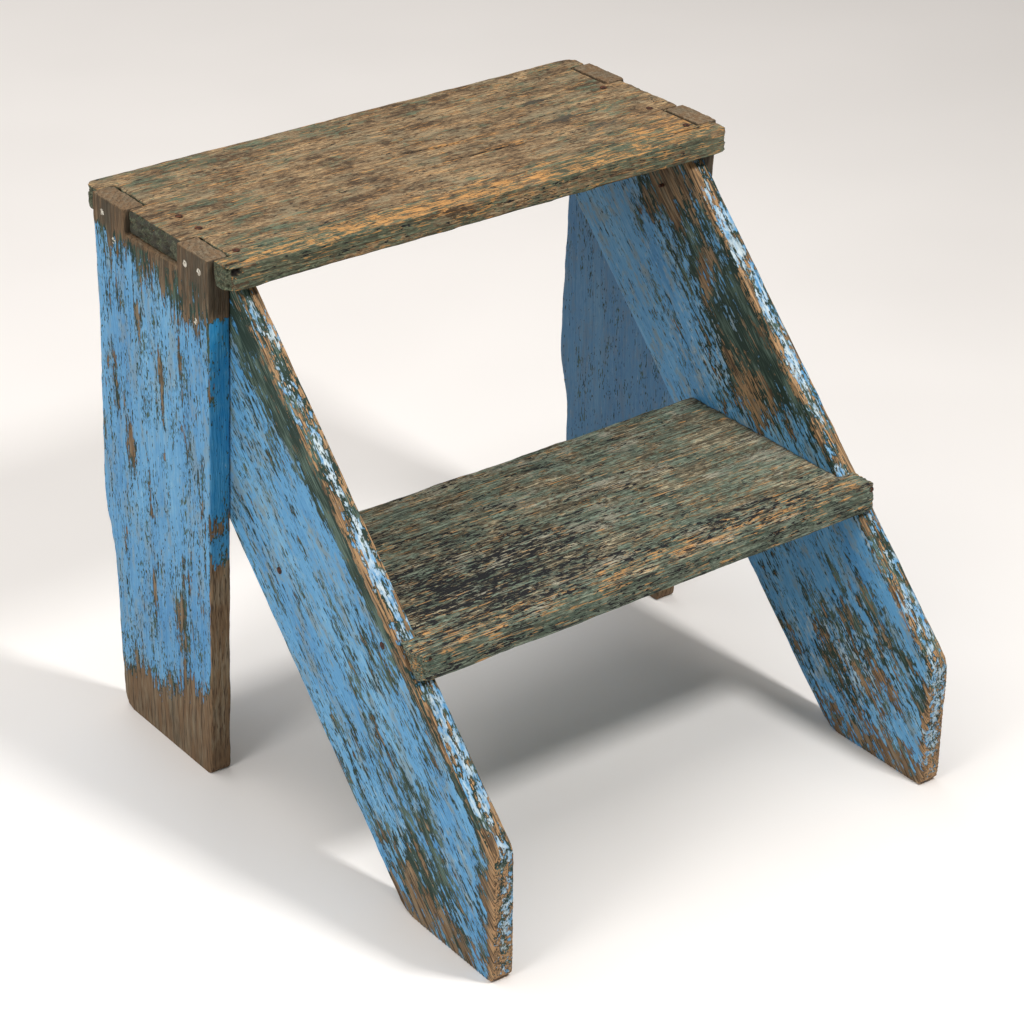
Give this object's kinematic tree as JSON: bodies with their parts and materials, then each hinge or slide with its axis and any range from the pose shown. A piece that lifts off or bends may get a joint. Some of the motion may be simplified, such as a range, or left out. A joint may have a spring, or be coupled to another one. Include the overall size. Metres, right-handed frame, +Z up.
{
  "type": "step stool",
  "caption": "Two-step wooden stool: notched top tread on wide uprights, slanted front stringers carrying a lower step, nailed together and painted.",
  "frame": {"origin": "on the floor, at the centre of the footprint of the whole stool", "axes": "+X along the treads, from the left upright to the right one; +Y from the front (the step and the toes) to the back; +Z up. The stool's outline is mirrored about X = 0."},
  "size_m": [0.508, 0.533, 0.482],
  "materials": {
    "painted_wood": "worn matt paint, sky blue over dark green, on bare brown wood",
    "worn_tread_wood": "weathered, almost bare wood with traces of green paint",
    "nail_iron": "rusted",
    "filling": "chalky off-white putty"
  },
  "bodies": {
    "root": {"top_tread": "worn_tread_wood", "lower_tread": "worn_tread_wood", "left_upright": "painted_wood", "right_upright": "painted_wood", "left_stringer": "painted_wood", "right_stringer": "painted_wood", "left_ear_nails": "nail_iron", "left_stringer_nails": "nail_iron", "left_step_end_nails": "nail_iron", "left_top_nails": "nail_iron", "left_nail_filling": "filling", "right_ear_nails": "nail_iron", "right_stringer_nails": "nail_iron", "right_step_end_nails": "nail_iron", "right_top_nails": "nail_iron", "right_nail_filling": "filling", "step_ear_nails": "nail_iron"}
  },
  "joints": []
}
